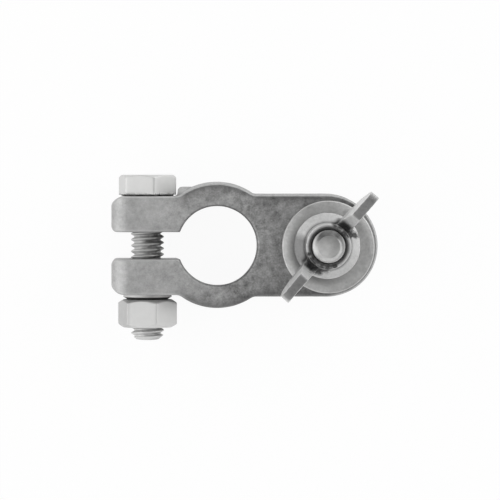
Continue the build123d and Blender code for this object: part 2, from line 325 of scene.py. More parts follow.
@dataclass(frozen=True)
class PlatedFinish:
    """Zinc-plated steel: light, satin, with faint cloudiness and painted shade in its hollows.
    """

    name: str = "plated_steel_skin"
    tone: float = 0.595
    cloud_mm: float = 2.6
    cloud: float = 0.02
    speck_mm: float = 0.7
    speck: float = 0.0
    hollow_tone: float = 0.12
    hollow_least: float = 0.75  # painted shade of a hollow where the clouds are darkest
    metallic: float = 0.6
    blue: float = 0.99
    roughness: float = 0.42
    rough_spread: Span = (-0.04, 0.05)
    grain_mm: float = 0.35
    grain_depth_mm: float = 0.003
    soil: "Span | None" = None  # y mm where painted shade starts and where it is full

    def make(self) -> Material:
        """Returns the material."""
        bench = NodeBench(bpy.data.materials.new(self.name))
        place = bench.place()
        cloud = bench.noise(place, self.cloud_mm, 3.0, Roughness=0.55, Distortion=0.4)
        grain = bench.noise(place, self.grain_mm, 2.0)
        specks = bench.noise(place, self.speck_mm, 4.0, Roughness=0.65)
        tone = bench.math(
            "ADD",
            bench.spread(cloud, *MOST, self.tone - self.cloud, self.tone + self.cloud),
            bench.spread(specks, *MOST, -self.speck, self.speck),
        )
        # painted shade: from the mesh attribute, or over a stretch of y
        if self.soil is None:
            uneven = bench.spread(cloud, *NARROW, self.hollow_least, 1.0)
            shade_share = bench.math("MULTIPLY", bench.attribute("painted_shade"), uneven)
        else:
            shade_share = bench.spread(bench.along(place, "Y"), *self.soil, 0.0, 1.0)
        tone = bench.blend(shade_share, tone, self.hollow_tone)
        low, high = self.rough_spread
        rough = bench.spread(cloud, *MOST, self.roughness + low, self.roughness + high)
        normal = bench.bump(grain, self.grain_depth_mm)
        return bench.metal(self.metallic, tone, self.blue, rough, normal)


# ---- meshes ----


class Level(Enum):
    """How the section of a grid ends."""

    LOOP = "it runs back to its start, as on a nut or washer"
    POLES = "both its ends meet the axis, as on a screw"


def ramp(values: Array, start: float, full: float) -> Array:
    """Returns how far values have come from start, 0, to full, 1, which may be the smaller."""
    return np.clip((values - start) / (full - start), 0, 1)


def mesh_object(name: str, points: Array, faces: Array) -> Piece:
    """Makes a smooth-shaded object at the origin from points in metres.

    Args:
        name: the piece's name.
        points: n by 3 places.
        faces: rows of 4 indices; -1 in the fourth column marks a triangle.

    Returns:
        The object, linked to the scene.
    """
    mesh = bpy.data.meshes.new(name)
    counts = np.where(faces[:, -1] < 0, 3, 4)
    starts = np.concatenate(([0], np.cumsum(counts)[:-1]))
    corners = faces[faces >= 0]
    mesh.vertices.add(len(points))
    mesh.vertices.foreach_set("co", points.astype(np.float32).ravel())
    mesh.loops.add(len(corners))
    mesh.loops.foreach_set("vertex_index", corners.astype(np.int32))
    mesh.polygons.add(len(faces))
    mesh.polygons.foreach_set("loop_start", starts.astype(np.int32))
    mesh.update(calc_edges=True)
    mesh.validate()
    mesh.shade_smooth()
    made = bpy.data.objects.new(name, mesh)
    bpy.context.scene.collection.objects.link(made)
    return made


def store(piece: Piece, name: str, values: Array) -> None:
    """Keeps one value per vertex on a mesh."""
    attribute = piece.data.attributes.new(name, "FLOAT", "POINT")
    attribute.data.foreach_set("value", values.astype(np.float32))


def lattice_noise(points: Array, size: float, seed: int) -> Array:
    """Smooth random values in space, -1 to 1.

    A cubic lattice of the given size holds a random value at each node, and a point gets
    the blend of the eight nodes around it, weighted by 3t^2 - 2t^3 along each axis. The
    nodes draw from a shuffled table of 256 values, and 1000 cells are added to each place
    so that none lies at a negative node.

    Args:
        points: n by 3 places.
        size: width of a lattice cell.
        seed: chooses the values.

    Returns:
        n values.
    """
    table = np.random.default_rng(seed).permutation(256)
    scaled = points / size + 1000.0
    cell = np.floor(scaled).astype(np.int64)
    share = scaled - cell
    share = share * share * (3 - 2 * share)
    total = np.zeros(len(points))
    for corner in np.ndindex(2, 2, 2):
        i, j, k = ((cell + np.array(corner)) & 255).T
        value = table[(table[(table[i] + j) & 255] + k) & 255] / 127.5 - 1
        weight = np.prod(np.where(np.array(corner) == 1, share, 1 - share), axis=1)
        total += weight * value
    return total


@dataclass
class CastSkin:
    """The skin of a casting: its solid's surface with softened edges and an uneven face.

    The solid's mesh is merged and wrapped in an even grid of small quads. Each vertex then
    moves to the mean of its neighbours a few times, by turns inwards and back out so that
    the whole doesn't shrink, and last inwards along its normal by a smooth random depth.
    A skin with a crest is that of a nut, and one without is that of the clamp's body.
    """

    node: str
    body: str
    cell: float
    seed: int
    bore: Place  # axis x and y, radius of the bore, inside which shade is painted
    crest: "float | None" = None  # height above which the faces that look up get painted shade
    root_shade_spots: tuple[tuple[float, ...], ...] = ()  # x, y, radius, strength of spots of painted shade
    slot: str = "cast_alloy"
    rounds: int = 3
    waves: tuple[Span, ...] = (  # size and depth
        (4.5 * MM, 0.060 * MM),
        (1.8 * MM, 0.030 * MM),
        (0.8 * MM, 0.012 * MM),
    )
    edge_rounds: int = 4
    edge_bend: float = 0.05 * MM
    hollow_rounds: int = 90
    hollow_bend: float = 0.26 * MM
    bore_shading: float = 0.55
    bore_depth: float = 0.15 * MM  # how far inside its radius the bore's painted shade is full
    bore_margin: float = 0.6 * MM  # how far outside it the edges are worn as elsewhere
    root_shade_hold: Span = (0.55, 0.9)  # of upright faces, and what looking up adds to it
    up: Span = (0.80, 0.95)  # of a normal's z
    aside: Span = (0.0, -0.2)  # of a normal's y
    rim: Span = (10.8 * MM, 12.6 * MM)  # distance from the bore's axis
    rim_x: Span = (-11.0 * MM, -7.0 * MM)
    rim_bend: float = 0.42 * MM
    # where the far end's edge gets a painted highlight
    end_highlight_x: Span = (26.0 * MM, 29.0 * MM)
    end_highlight_y: Span = (9.0 * MM, 6.0 * MM)
    # painted shade round the seat of the cable and along the pad's flanks
    seat_x: float = 26.3 * MM
    seat: Span = (13.8 * MM, 11.8 * MM)  # distance from the seat's axis
    seat_shade: float = 0.40
    flank_x: Span = (8.0 * MM, 12.0 * MM)
    flank_y: Span = (3.0 * MM, 8.0 * MM)
    flank_shade: float = 0.36
    crest_rise: float = 1.0 * MM  # height over which the crest grows darker, a painted shade
    crest_up: Span = (0.55, 0.85)  # of a normal's z
    lip: tuple[Span, Span] = ((5.0 * MM, 4.75 * MM), (5.4 * MM, 5.6 * MM))  # from the axis
    shade_turn: float = 188.0  # direction in degrees of the stretch of a round skirt that gets painted shade
    shade_reach: Span = (0.80, 0.94)  # of the cosine of the angle to it
    wing_rise: float = 1.5 * MM  # height over which the wings' flanks grow lighter, a painted highlight
    wing_upright: Span = (0.5, 0.3)  # of a normal's z
    wing_highlight: float = 0.9

    @staticmethod
    def arrays(mesh: bpy.types.Mesh) -> tuple[Array, Array]:
        """Reads a mesh.

        Args:
            mesh: the mesh.

        Returns:
            The places of its vertices, and the vertex at each corner of its faces.
        """
        places = np.empty(len(mesh.vertices) * 3, np.float32)
        mesh.vertices.foreach_get("co", places)
        corners = np.empty(len(mesh.loops), np.int32)
        mesh.loops.foreach_get("vertex_index", corners)
        return places.reshape(-1, 3), corners

    def wrapped(self, solid: Piece) -> tuple[Array, Array]:
        """Wraps the solid's merged mesh in an even grid.

        Args:
            solid: the solid's object.

        Returns:
            The places of the vertices and the corners of the quads.
        """
        places, corners = self.arrays(solid.data)
        points, back = np.unique(np.round(places, 8), axis=0, return_inverse=True)
        triangles = back.reshape(-1)[corners].reshape(-1, 3)
        triangles = triangles[(triangles != np.roll(triangles, 1, axis=1)).all(axis=1)]
        faces = np.column_stack((triangles, np.full(len(triangles), -1)))
        copy = mesh_object(self.node + "_merged", points.astype(float), faces)
        wrap = copy.modifiers.new("wrap", "REMESH")
        wrap.mode = "VOXEL"
        wrap.voxel_size = self.cell
        wrap.adaptivity = 0.0
        graph = bpy.context.evaluated_depsgraph_get()
        wrapping = bpy.data.meshes.new_from_object(copy.evaluated_get(graph))
        places, corners = self.arrays(wrapping)
        bpy.data.objects.remove(copy)
        return places.astype(float), corners.reshape(-1, 4)

    @staticmethod
    def pairs(quads: Array) -> Array:
        """Returns each edge of the quads once, as two vertex indices."""
        sides = ([0, 1], [1, 2], [2, 3], [3, 0])
        edges = np.concatenate([quads[:, side] for side in sides])
        return np.unique(np.sort(edges, axis=1), axis=0)

    @staticmethod
    def mean_shift(points: Array, edges: Array, degree: Array) -> Array:
        """Returns the vector from each vertex to the mean of its neighbours."""
        total = np.zeros_like(points)
        for axis in range(3):
            total[:, axis] = np.bincount(edges[:, 0], points[edges[:, 1], axis], len(points))
            total[:, axis] += np.bincount(edges[:, 1], points[edges[:, 0], axis], len(points))
        return total / degree[:, None] - points

    @staticmethod
    def normals(points: Array, quads: Array) -> Array:
        """Returns the unit normal of each vertex, the mean of its quads' cross products."""
        a, b, c, d = (points[quads[:, i]] for i in range(4))
        face = np.cross(c - a, d - b)
        total = np.zeros_like(points)
        for axis in range(3):
            for corner in range(4):
                total[:, axis] += np.bincount(quads[:, corner], face[:, axis], len(points))
        return total / np.maximum(np.linalg.norm(total, axis=1), 1e-20)[:, None]

    def end_highlight(self, points: Array, sunk: Array) -> Array:
        """How much painted highlight the edge at the far end gets, 0 to 1."""
        share = ramp(points[:, 0], *self.end_highlight_x) * ramp(points[:, 1], *self.end_highlight_y)
        return share * ramp(sunk, 0.0, -self.rim_bend / 2)

    def facing_shade_level(self, points: Array, normal: Array, sunk: Array) -> Array:
        """How much painted shade the skin gets on faces that the light reaches little.

        On the body that is the top face towards its outer edges and the edges that face
        -Y, away from the bore and the ears, and less so the top face round the seat of the
        cable and along both flanks of the pad. On a nut it is the crest, but for its lip,
        and a stretch of the skirt.

        Args:
            points: the vertices.
            normal: their unit normals.
            sunk: how far the settled surface lies outside each, negative near outer edges.

        Returns:
            One value per vertex, 0 to 1.
        """
        x, y, z = points.T
        if self.crest is None:
            up = ramp(normal[:, 2], *self.up)
            rim = ramp(np.hypot(x, y), *self.rim) * ramp(x, *self.rim_x)
            rim *= np.maximum(up, ramp(normal[:, 1], *self.aside))
            rim *= (1 - self.end_highlight(points, sunk)) * ramp(sunk, 0.0, -self.rim_bend)
            seat = self.seat_shade * ramp(np.hypot(x - self.seat_x, y), *self.seat)
            flank = self.flank_shade * ramp(x, *self.flank_x) * ramp(np.abs(y), *self.flank_y)
            return np.clip(rim + up * np.maximum(seat, flank), 0, 1)
        x, y = x - self.bore[0], y - self.bore[1]
        inside, outside = (ramp(np.hypot(x, y), *span) for span in self.lip)
        rise = ramp(z - self.crest, 0.0, self.crest_rise)
        crest = rise * ramp(normal[:, 2], *self.crest_up) * (1 - (1 - inside) * (1 - outside))
        facing = np.cos(np.arctan2(y, x) - math.radians(self.shade_turn))
        return np.maximum(crest, (1 - rise) * ramp(facing, *self.shade_reach))

    def root_shade(self, points: Array, normal: Array) -> Array:
        """How near each vertex lies to the middle of a spot of painted shade at the wing roots.

        The shade is strongest on faces that look up, and little of it stays on upright ones.

        Args:
            points: the vertices.
            normal: their unit normals.

        Returns:
            One value per vertex: a spot's strength at its middle, 0 at its radius.
        """
        level = np.zeros(len(points))
        for x, y, radius, strength in self.root_shade_spots:
            away = np.hypot(points[:, 0] - x, points[:, 1] - y)
            level = np.maximum(level, strength * (1 - away / radius))
        upright, gain = self.root_shade_hold
        return level * np.clip(upright + gain * normal[:, 2], 0, 1)

    def make(self, solids: dict[str, Piece], finish: Material) -> Piece:
        """Builds the skin and lets it stand for its solid.

        Args:
            solids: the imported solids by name.
            finish: the material.

        Returns:
            The skin.
        """
        points, quads = self.wrapped(solids[self.node])
        edges = self.pairs(quads)
        degree = np.bincount(edges.ravel(), minlength=len(points)).astype(float)
        for _ in range(self.rounds):
            for step in (SHRINK, REGROW):
                points = points + step * self.mean_shift(points, edges, degree)
        normal = self.normals(points, quads)
        settled = points
        for step in range(self.hollow_rounds):
            settled = settled + SETTLE * self.mean_shift(settled, edges, degree)
            if step + 1 == self.edge_rounds:
                bend = np.einsum("ij,ij->i", settled - points, normal)
        sunk = np.einsum("ij,ij->i", settled - points, normal)
        depth = np.zeros(len(points))
        for index, (size, reach) in enumerate(self.waves):
            depth += reach * (0.5 + 0.5 * lattice_noise(points, size, self.seed + index))
        points = points - normal * depth[:, None]
        low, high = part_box(self.node)
        points = np.clip(points, np.array(low), np.array(high))
        skin = mesh_object(self.node + "_skin", points, quads)
        x, y, radius = self.bore
        outside = np.hypot(points[:, 0] - x, points[:, 1] - y) - radius
        # painted shade: darker in hollows and inside the bore
        painted_shade = ramp(sunk, 0.0, self.hollow_bend)
        painted_shade = np.maximum(painted_shade, self.bore_shading * ramp(outside, 0.0, -self.bore_depth))
        edge = ramp(bend, 0.0, -self.edge_bend)
        if self.crest is None:
            edge *= ramp(outside, 0.0, self.bore_margin)
            # painted highlight on the far end's edge
            edge = np.maximum(edge, self.end_highlight(points, sunk))
        else:
            # painted highlight: the wings' upright flanks above the crest lighter
            rise = ramp(points[:, 2] - self.crest, 0.0, self.wing_rise)
            upright = ramp(np.abs(normal[:, 2]), *self.wing_upright)
            edge = np.maximum(edge, self.wing_highlight * rise * upright)
        store(skin, "edge", edge * (1 - painted_shade))
        store(skin, "painted_shade", painted_shade)
        # painted shade on faces turned from the light
        store(skin, "facing_shade", self.facing_shade_level(points, normal, sunk))
        store(skin, "root_shade", self.root_shade(points, normal))
        skin.data.materials.append(finish)
        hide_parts(self.node)
        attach(skin, self.body)
        log.info("%s: %d quads", skin.name, len(quads))
        return skin


def soft_least(first: Array, second: Array, power: float) -> Array:
    """The smaller of two lengths, rounded where they meet: (a^-p + b^-p)^(-1/p)."""
    scale = np.minimum(first, second)
    return scale * ((first / scale) ** -power + (second / scale) ** -power) ** (-1 / power)


def hexagon(angle: Array, across: float, turn: float, power: float = 70.0) -> Array:
    """Radius of a hexagon with slightly rounded corners.

    The plain hexagon is half its width over the largest cosine of the angles to its six
    flats, and the largest is replaced by the p-norm of the positive cosines.

    Args:
        angle: directions, radians.
        across: width across the flats.
        turn: direction of one corner, radians.
        power: p, larger for crisper corners.

    Returns:
        The radius in each direction, as one row.
    """
    flats = turn + math.pi / 6 + np.arange(6) * math.pi / 3
    cosines = np.maximum(np.cos(angle[:, None] - flats[None, :]), 0)
    return (across / 2 / (cosines**power).sum(axis=1) ** (1 / power))[None, :]


def thread_depth(along: Array, angle: Array, pitch: float, depth: float) -> Array:
    """How far the flank of a right-hand 60-degree thread lies below its crest.

    The phase is the distance along the axis in pitches less the angle in turns. Its
    distance from the middle of the root, scaled from 0 to 1, climbs in a slightly curved
    flank between a flat root and a flat crest.

    Args:
        along: stations along the axis, rows.
        angle: directions, columns.
        pitch: length of one turn.
        depth: crest to root.

    Returns:
        rows by columns of depths.
    """
    phase = (along[:, None] / pitch - angle[None, :] / (2 * math.pi)) % 1.0
    climb = ramp(np.abs(2 * phase - 1), ROOT_FLAT, 1 - CREST_FLAT)
    curved = climb * climb * (3 - 2 * climb)
    return depth * (1 - (curved * FLANK_EASE + climb * (1 - FLANK_EASE)))


def stacked(bands: "list[tuple[Array | float, ...]]", columns: int) -> tuple[Array, ...]:
    """Joins the bands of a section one after the other.

    Args:
        bands: stations, radii and so on of each; what is constant may leave out its rows
            or columns.
        columns: number of columns.

    Returns:
        The stations, radii and so on of the whole, each rows by columns.
    """
    full = [np.broadcast_arrays(*band, np.empty((1, columns)))[:-1] for band in bands]
    return tuple(np.concatenate(parts) for parts in zip(*full))


def turned_faces(rows: int, columns: int, level: Level) -> Array:
    """Faces of a grid that closes round the axis.

    Args:
        rows: stations of the section.
        columns: directions.
        level: how the section ends.

    Returns:
        Faces; with POLES, vertices rows*columns and rows*columns+1 are the two poles.
    """
    last = rows if level is Level.LOOP else rows - 1
    k, j = np.meshgrid(np.arange(last), np.arange(columns), indexing="ij")
    here, below = k.ravel() * columns, (k.ravel() + 1) % rows * columns
    j, after = j.ravel(), (j.ravel() + 1) % columns
    quads = np.column_stack((here + j, here + after, below + after, below + j))
    if level is Level.LOOP:
        return quads
    ring = np.arange(columns)
    after = (ring + 1) % columns
    base, pole = (rows - 1) * columns, np.full(columns, rows * columns)
    none = np.full(columns, -1)
    start_fan = np.column_stack((after, ring, pole, none))
    end_fan = np.column_stack((base + ring, base + after, pole + 1, none))
    return np.concatenate((quads, start_fan, end_fan))


def directions(turn: float) -> Array:
    """Angles of the grid's columns: even, with more at the corners of a hexagon.

    Args:
        turn: direction of one corner, radians.

    Returns:
        Ascending angles, radians.
    """
    even = np.arange(EVEN_COLUMNS) * (2 * math.pi / EVEN_COLUMNS)
    corners = turn + np.arange(6) * math.pi / 3
    near = (corners[:, None] + CORNER_COLUMNS[None, :]).ravel() % (2 * math.pi)
    gap = (even[:, None] - corners[None, :] + math.pi) % (2 * math.pi) - math.pi
    return np.sort(np.concatenate((even[np.abs(gap).min(axis=1) > CORNER_CLEAR], near)))


@dataclass
class Turned:
    """A plated piece about an axis, one closed surface that its kind's surface() makes."""

    name: str
    node: str
    body: str
    origin: Place
    along: Place
    across: Place

    def places(self, stations: Array, radii: Array, angles: Array) -> Array:
        """Places a grid: station along the axis, radius and angle about it.

        Args:
            stations: rows by columns.
            radii: rows by columns.
            angles: columns.

        Returns:
            rows times columns by 3 places.
        """
        w = np.array(self.along, float)
        u = np.array(self.across, float)
        v = np.cross(w, u)
        ring = np.cos(angles)[:, None] * u + np.sin(angles)[:, None] * v
        spots = np.array(self.origin) + stations[:, :, None] * w + radii[:, :, None] * ring[None]
        return spots.reshape(-1, 3)

    def make(self, finish: Material) -> Piece:
        """Builds the piece and lets it stand for its solid.

        Args:
            finish: the material.

        Returns:
            The piece.
        """
        points, faces, shade_share = self.surface()
        piece = mesh_object(self.name, points, faces)
        # keeps the painted shade as a mesh attribute
        store(piece, "painted_shade", shade_share)
        piece.data.materials.append(finish)
        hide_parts(self.node)
        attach(piece, self.body)
        log.info("%s: %d faces", piece.name, len(faces))
        return piece


@dataclass
class Screw(Turned):
    """A hex-headed screw, from the top of its head to its point.

    Every station along the axis holds a closed curve round it: the hexagon cut by the
    cone of the chamfer over the head, and the thread cut by the cone of the point.
    Station 0 is the underside of the head, and the thread runs to positive stations.
    """

    length: float
    turn: float
    head_height: float = 5.1 * MM
    width: float = 12.7 * MM  # of the head across its flats
    chamfer: float = 1.2 * MM
    crispness: float = 70.0  # of the corners of the head
    radius: float = 3.97 * MM
    pitch: float = 1.411 * MM
    depth: float = 0.78 * MM
    plain: float = 0.6 * MM
    root: Span = (0.3 * MM, 0.25 * MM)  # length and height of the round under the head
    point_chamfer: float = 1.3 * MM
    point_length: float = 1.1 * MM
    crown: float = 0.22 * MM  # how far the middle of the end stands out
    step: float = 0.09 * MM
    least_step: float = 0.02 * MM
    seed: int = 11
    wear: float = 0.9 * MM  # width of worn patches
    wear_mm: float = 0.02  # their depth
    patchy: float = 0.0  # how uneven the painted shade is
    patches: tuple[Span, ...] = ((1.1 * MM, 1.0), (0.5 * MM, 0.7))  # their size and strength
    soil: Span = (1.0, 0.0)  # painted shade in the thread, and over its side turned from the light
    shading_turn: float = 0.0  # direction of that side, radians
    shading_focus: float = 3.0  # how closely that painted shade keeps to it
    end_shading: float = 0.0  # painted shade over that side of the end
    shade_ease_from: float = 1.0  # station from which the thread's painted shade is weaker
    eased_shading: float = 0.3

    def section(self, angles: Array) -> tuple[Array, ...]:
        """Works out the surface.

        Args:
            angles: the columns' directions.

        Returns:
            Stations, radii and painted shade, each rows by columns.
        """
        hexa = hexagon(angles, self.width, self.turn, self.crispness)
        # rows lie close over the chamfer
        rise_mm = (np.linspace(0, 0.9, 16), np.linspace(1.0, self.head_height / MM - 0.3, 9))
        rise = (np.concatenate(rise_mm) * MM)[:, None]
        cone = (self.width / math.sqrt(3) - self.chamfer) + rise / CHAMFER_SLOPE
        side = soft_least(hexa, cone, CHAMFER_POWER)
        above, inset, foot_shade = (column[:, None] for column in FOOT_ROWS.T)
        foot = hexa - inset * MM
        root_length, root_height = self.root
        neck = self.radius + root_height

        stop = self.length - self.crown
        along = np.append(np.arange(0.0, stop - self.least_step, self.step), stop)
        run_in = ramp(along - self.plain, 0.0, self.pitch)[:, None]
        cut = thread_depth(along, angles, self.pitch, self.depth) * run_in
        along = along[:, None]
        tip = (stop - along) * (self.point_chamfer / self.point_length)
        tip += self.radius - self.point_chamfer
        shank = self.radius - cut + ramp(along, root_length, 0.0) * root_height
        shank = soft_least(shank, tip, TIP_POWER)

        # painted shade: the thread darker in its roots and on the side turned from the light
        thread, over = self.soil
        facing = np.clip(0.5 + 0.5 * np.cos(angles - self.shading_turn), 0, 1)[None, :]
        soil = thread * cut / self.depth * (1 - over + over * facing)
        soil += over * facing**self.shading_focus
        soil *= np.where(along > self.shade_ease_from, self.eased_shading, 1.0)
        bands = [
            (-self.head_height, TOP_ROWS * side[:1], 0.0),
            (rise - self.head_height, side, 0.0),
            # painted shadow under the head
            (-above * MM, foot, foot_shade),
            (0.0, neck + FLOOR_ROWS * (foot[-1:] - neck), 1.0),
            (along, shank, np.clip(soil, 0, 1)),
            (
                self.length - self.crown * END_ROWS**2,
                END_ROWS * shank[-1].min(),
                self.end_shading * END_ROWS * facing,
            ),
        ]
        return stacked(bands, len(angles))

    def surface(self) -> tuple[Array, Array, Array]:
        """Makes the mesh.

        Returns:
            The places of its vertices, its faces and the painted shade at each vertex.
        """
        angles = directions(self.turn)
        stations, radii, shade_share = self.section(angles)
        grid = self.places(stations, radii, angles)
        worn = lattice_noise(grid, self.wear, self.seed) * self.wear_mm * MM * shade_share.ravel()
        origin, w = np.array(self.origin), np.array(self.along)
        poles = np.array([origin - w * self.head_height, origin + w * self.length])
        radial = grid - origin
        radial -= (radial @ w)[:, None] * w
        radial /= np.maximum(np.linalg.norm(radial, axis=1), 1e-9)[:, None]
        grid = grid - radial * np.abs(worn)[:, None]
        uneven = sum(
            strength * lattice_noise(grid, size, self.seed + 1 + index)
            for index, (size, strength) in enumerate(self.patches)
        )
        shade_share = np.clip(shade_share.ravel() * (1 + self.patchy * uneven), 0, 1)
        faces = turned_faces(len(radii), len(angles), Level.POLES)
        points = np.concatenate((grid, poles))
        return points, faces, np.concatenate((shade_share, [0.0, 0.0]))


@dataclass
class Ring(Turned):
    """A nut or washer, whose section runs round and back."""

    thickness: float
    inner: float
    outer: float
    hexagonal: bool = False
    turn: float = 0.0
    chamfer: float = 1.5 * MM
    mouth: float = 0.55 * MM
    mouth_round: float = 0.03 * MM
    edge: Span = (0.15 * MM, 0.15 * MM)  # rounds at the far and at the near face
    dome: Span = (0.0, 0.0)  # radius where the far face starts to fall, its fall
    soil: Span = (0.0, 0.0)  # radius of the painted shade about the middle, its direction
    shading_fade: float = 1.6 * MM
    shading_round: float = 0.35  # share of that painted shade that lies all round
    shading_level: float = 0.8
    flank_shading: float = 0.0  # painted shade on the flank that faces flank_turn degrees
    flank_turn: float = 162.0
    flank_reach: Span = (0.8, 0.86)  # of the cosine of the angle to it

    def outside(self, angles: Array) -> tuple[Array, Array]:
        """Works out the outside, from the near face to the far one.

        Args:
            angles: the columns' directions.

        Returns:
            Stations, and radii rows by columns.
        """
        far, near = self.edge
        end = self.thickness
        if self.hexagonal:
            rise = np.linspace(0, 1.2, 18) * MM
            middle = np.linspace(1.5 * MM, end - 1.5 * MM, 6)
            along = np.concatenate((rise, middle, end - rise[::-1]))[:, None]
            corner = 2 * self.outer / math.sqrt(3)
            cone = corner - self.chamfer + np.minimum(along, end - along) / CHAMFER_SLOPE
            flats = hexagon(angles, 2 * self.outer, self.turn)
            return along, soft_least(flats, cone, CHAMFER_POWER)
        bend = np.linspace(0, math.pi / 2, 7)[:, None]
        sine, cosine = 1 - np.sin(bend), 1 - np.cos(bend)
        along = np.concatenate((near * cosine, end - self.dome[1] - far * sine))
        radius = self.outer - np.concatenate((near * sine, far * cosine))
        return along, np.broadcast_to(radius, (len(along), len(angles)))

    def section(self, angles: Array) -> tuple[Array, ...]:
        """Works out the surface.

        Args:
            angles: the columns' directions.

        Returns:
            Stations and radii, rows by columns, from the bore's near mouth outwards,
            along the outside and back through the bore.
        """
        end, lip, small = self.thickness, self.mouth, self.mouth_round
        along, side = self.outside(angles)
        mouth = self.inner + lip
        start = mouth + FACE_ROWS * (side[:1] - mouth)
        stop = mouth + FACE_ROWS[::-1] * (side[-1:] - mouth)
        fall = self.dome[1] * ramp(stop, self.dome[0], side[-1:]) ** 2
        bore = np.concatenate(
            (
                [end, end - small, end - 0.5 * lip, end - lip],
                np.linspace(end - 1.3 * lip, 1.3 * lip, 6),
                [lip, 0.5 * lip, small, 0.0],
            )
        )[:, None]
        flare = np.maximum(lip - np.minimum(end - bore, bore), 0)
        bands = [(0.0, start), (along, side), (end - fall, stop), (bore, self.inner + flare)]
        return stacked(bands, len(angles))

    def surface(self) -> tuple[Array, Array, Array]:
        """Makes the mesh.

        Returns:
            The places of its vertices, its faces and the painted shade at each vertex.
        """
        angles = np.arange(ROUND_COLUMNS) * (2 * math.pi / ROUND_COLUMNS)
        if self.hexagonal:
            angles = directions(self.turn)
        stations, radii = self.section(angles)
        points = self.places(stations, radii, angles)
        faces = turned_faces(len(radii), len(angles), Level.LOOP)
        # painted shade: darker towards the middle, most in one direction, and on one flank
        reach, turn = self.soil
        facing = (1 - self.shading_round) * np.cos(angles - math.radians(turn))
        facing = np.clip(self.shading_round + facing, 0, 1)[None, :]
        shade_share = self.shading_level * ramp(radii, reach, reach - self.shading_fade) * facing
        turned = ramp(np.cos(angles - math.radians(self.flank_turn)), *self.flank_reach)
        shade_share = np.maximum(shade_share, self.flank_shading * turned[None, :])
        return points, faces, shade_share.ravel()


# ---- studio ----


